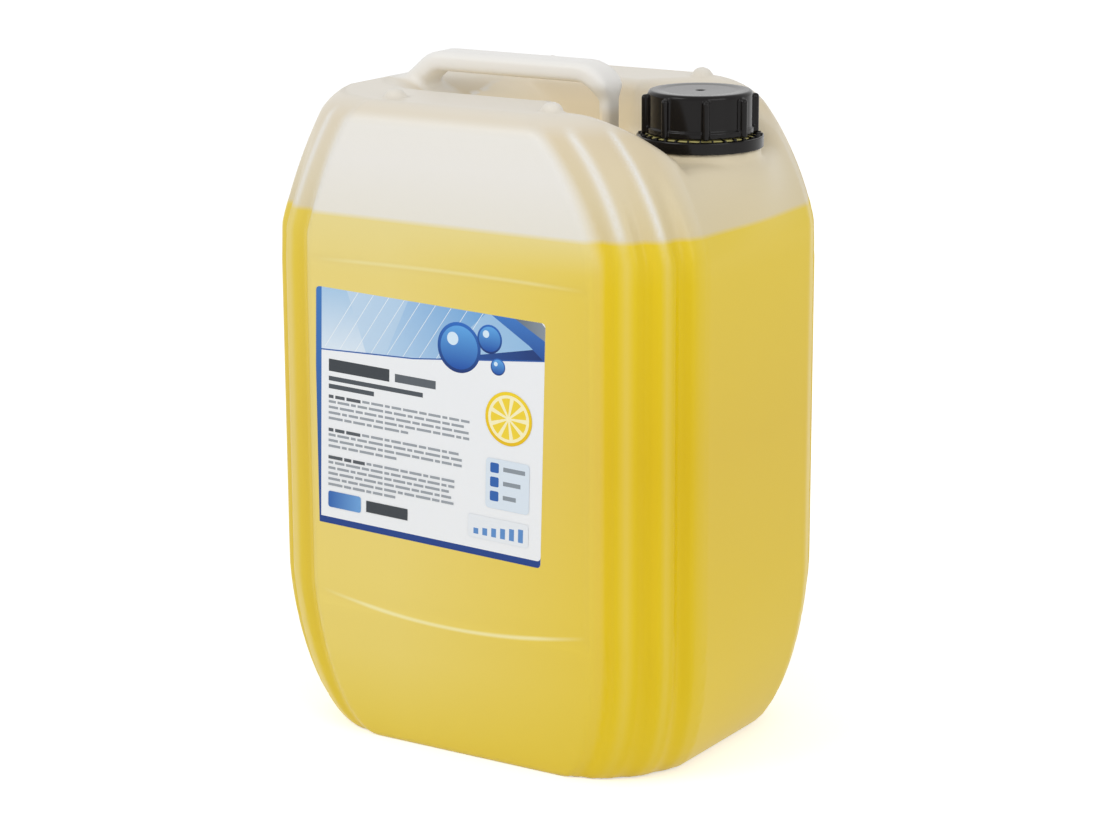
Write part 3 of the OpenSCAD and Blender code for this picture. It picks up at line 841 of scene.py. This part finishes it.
for k in range(9):
    start = -74 + 11 * k
    ink([(start, 36.5), (start + 0.35, 36.5), (start + 24.4, 72.4), (start + 24, 72.4)], "#F4F9FD")
ink(
    [(-76.4, 34.2), (-10, 38.2), (EDGE_X, 50.2), (EDGE_X, 51), (-10, 39), (-76.4, 35)], "#2B5CA8",
)
# The emblem: three bubbles
for cx, cy, r in ((22, 50, 15), (43, 58, 8.5), (49, 42.5, 5)):
    ink(disc(cx, cy, r), "#12306E", "#2E6CC2")
    ink(disc(cx, cy, 0.86 * r), "#1B4FA6", "#5FA6E6")
    ink(disc(cx - 0.3 * r, cy + 0.32 * r, 0.26 * r), "#D8ECFB")
# Greeked print: a title, two lines under it, and blocks of words as thin bars
ink(box(-71, 22, -27, 29.5), "#3B4046")
ink(box(-23, 22.5, 6, 27.5), "#5B6168")
ink(box(-71, 16.2, -3, 19), "#4C5259")
ink(box(-71, 11.4, -38, 14.2), "#4C5259")
row = 0
for block, (top, rows) in enumerate(((7.5, 5), (-13, 4), (-30, 6))):
    for k in range(rows):
        low = top - 3.4 * k
        right = (30 if k < rows - 1 else -12) - 5 * block
        left = -71.0
        word = row
        while left < right - 4:
            width = 3.5 + (word * 7 % 5) * 1.7
            heading = k == 0 and left < -50
            ink(
                box(left, low - (2 if heading else 1.5), min(left + width, right), low),
                "#54595F" if heading else "#9BA1A8",
            )
            left += width + 1.3
            word += 1
        row += 3
# A lemon slice in the place beside the words
ink(disc(57, 13, 16), "#E9BE12", "#F4D52A")
ink(disc(57, 13, 14), "#FBF3C4")
for k in range(9):
    middle = math.radians(20 + 40 * k)
    cx, cy = 57 + 1.6 * math.cos(middle), 13 + 1.6 * math.sin(middle)
    ink([(cx, cy)] + disc(cx, cy, 10.6, 4 + 40 * k, 36 + 40 * k), "#F2D43A")
# Below it a panel of plain marks, and a measure bar along the foot
ink(box(42, -42, 72, -12, 2.4), "#DCE7F2")
for k in range(3):
    ink(box(45, -20.5 - 8.5 * k, 51, -14.5 - 8.5 * k, 1), "#2F62AE")
    ink(box(54, -18.9 - 8.5 * k, 69 - 3 * k, -16.3 - 8.5 * k), "#8C959E")
ink(box(-71, -62, -47, -52, 1.6), "#2F62AE", "#6FA3DB", (1, 0))
ink(box(-43, -60.5, -13, -53.5), "#3B4046")
ink(box(30, -62, 72, -48, 1.6), "#E9EDF2")
for k in range(6):
    ink(box(34 + 6.2 * k, -59.5, 37.4 + 6.2 * k, -56 + 0.9 * k), "#5F8FCB")

print_points, print_faces, print_shades = [], [], []
for layer, (points, shades) in enumerate(prints):
    depth_y = LABEL_FRONT - INK_START - INK_STEP * layer
    print_faces.append(list(range(len(print_points), len(print_points) + len(points))))
    for a, b in points:
        print_points.append((
            LABEL_X + a * math.cos(LABEL_TURN) + b * math.sin(LABEL_TURN), depth_y,
            LABEL_Z - a * math.sin(LABEL_TURN) + b * math.cos(LABEL_TURN),
        ))
    print_shades += shades
print_layer = mesh_object("label_print", print_points, print_faces, smooth=False)
shade = print_layer.data.attributes.new("ink", "FLOAT_COLOR", "POINT")
shade.data.foreach_set("color", np.array(print_shades, np.float32).ravel())

# Polypropylene film, white and semi-gloss: the ground that the inks lie on
film, tree = new_material("label_film_printed")
shader = add_node(
    tree, "ShaderNodeBsdfPrincipled",
    Base_Color=linear("#F0F2F5"), Roughness=0.4, Specular_IOR_Level=0.25,
)
add_node(tree, "ShaderNodeOutputMaterial", {"Surface": shader.outputs["BSDF"]})
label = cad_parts["label"]
label.data.materials.clear()
label.data.materials.append(film)

# Flexo inks under a thin varnish: flat colour from the print's own attribute, a soft sheen
inks, tree = new_material("label_inks_flexo_printed")
colour = add_node(tree, "ShaderNodeAttribute", attribute_name="ink")
shader = add_node(
    tree, "ShaderNodeBsdfPrincipled", {"Base Color": colour.outputs["Color"]},
    Roughness=0.38, Specular_IOR_Level=0.25,
)
add_node(tree, "ShaderNodeOutputMaterial", {"Surface": shader.outputs["BSDF"]})
print_layer.data.materials.append(inks)
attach(print_layer, "can")

# ---------------------------------------------------------------------------------------------
# Studio: a pale floor, a soft key from the front left, a fill from the right, and an even world.
# Floor and world look white to the camera and in reflections; they light the object less.
FLOOR_REACH, FLOOR_GLOW, WORLD_LIGHT = 8, 0.5, 0.62
KEY_AT, KEY_SIZE, KEY_POWER = (-1.0, -2.2, 1.9), 1.4, 20
FILL_AT, FILL_SIZE, FILL_POWER = (2.4, -0.9, 1.2), 1.6, 15
LIGHTS_AIM = (0, 0, 0.2)


def seen_directly(tree):
    """1 for camera, glossy and transmission rays, else 0."""
    path = add_node(tree, "ShaderNodeLightPath")
    either = add_node(
        tree, "ShaderNodeMath",
        {0: path.outputs["Is Camera Ray"], 1: path.outputs["Is Glossy Ray"]}, operation="MAXIMUM",
    )
    return add_node(
        tree, "ShaderNodeMath",
        {0: either.outputs["Value"], 1: path.outputs["Is Transmission Ray"]}, operation="MAXIMUM",
    ).outputs["Value"]


floor_mesh = bpy.data.meshes.new("floor")
floor_corners = [(FLOOR_REACH * a, FLOOR_REACH * b, 0) for a, b in ((-1, -1), (1, -1), (1, 1), (-1, 1))]
floor_mesh.from_pydata(floor_corners, [], [(0, 1, 2, 3)])
floor = bpy.data.objects.new("floor", floor_mesh)
bpy.context.scene.collection.objects.link(floor)
# Painted board: matt and nearly white
pale_floor, tree = new_material("pale_floor")
shader = add_node(tree, "ShaderNodeBsdfDiffuse", Color=linear("#F6F6F5"))
seen = seen_directly(tree)
glow = add_node(tree, "ShaderNodeMath", {0: seen, 1: FLOOR_GLOW}, operation="MULTIPLY")
lift = add_node(tree, "ShaderNodeEmission", {"Strength": glow.outputs["Value"]})
both = add_node(tree, "ShaderNodeAddShader", {0: shader.outputs["BSDF"], 1: lift.outputs["Emission"]})
add_node(tree, "ShaderNodeOutputMaterial", {"Surface": both.outputs["Shader"]})
floor.data.materials.append(pale_floor)
floor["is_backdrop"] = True


def soft_light(name, at, size, power):
    """A square area light that faces the object."""
    lamp = bpy.data.lights.new(name, "AREA")
    lamp.shape = "SQUARE"
    lamp.size = size
    lamp.energy = power
    made = bpy.data.objects.new(name, lamp)
    made.location = at
    made.rotation_euler = (Vector(LIGHTS_AIM) - Vector(at)).to_track_quat("-Z", "Y").to_euler()
    bpy.context.scene.collection.objects.link(made)
    return made


soft_light("key", KEY_AT, KEY_SIZE, KEY_POWER)
soft_light("fill", FILL_AT, FILL_SIZE, FILL_POWER)

world = bpy.data.worlds.new("studio")
world.use_nodes = True
world.node_tree.nodes.clear()
bright = add_node(
    world.node_tree, "ShaderNodeMapRange", {"Value": seen_directly(world.node_tree)},
    To_Min=WORLD_LIGHT,
)
sky = add_node(
    world.node_tree, "ShaderNodeBackground", {"Strength": bright.outputs["Result"]},
    Color=(1, 1, 1, 1),
)
add_node(world.node_tree, "ShaderNodeOutputWorld", {"Surface": sky.outputs["Background"]})
bpy.context.scene.world = world
bpy.context.scene.view_settings.view_transform = "Standard"

# ---------------------------------------------------------------------------------------------
# Camera. It stands in front, towards the neck's end, and looks slightly down. Its focal length is
# given in pixels of a picture 1100 pixels wide.
FOCAL_PX, PICTURE_PX, SENSOR_MM = 3073.5, 1100, 36
VIEWER_AT = (0.9825, -1.5353, 0.6498)
camera = bpy.data.cameras.new("camera")
camera.sensor_width = SENSOR_MM
camera.lens = FOCAL_PX / PICTURE_PX * SENSOR_MM
viewer = bpy.data.objects.new("camera", camera)
right = Vector((0.84306, 0.53772, -0.00419)).normalized()
forward = Vector((-0.52252, 0.81731, -0.24290)).normalized()
up = right.cross(forward)
viewer.matrix_world = Matrix([
    [right.x, up.x, -forward.x, VIEWER_AT[0]],
    [right.y, up.y, -forward.y, VIEWER_AT[1]],
    [right.z, up.z, -forward.z, VIEWER_AT[2]],
    [0, 0, 0, 1],
])
bpy.context.scene.collection.objects.link(viewer)
bpy.context.scene.camera = viewer

low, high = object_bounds()
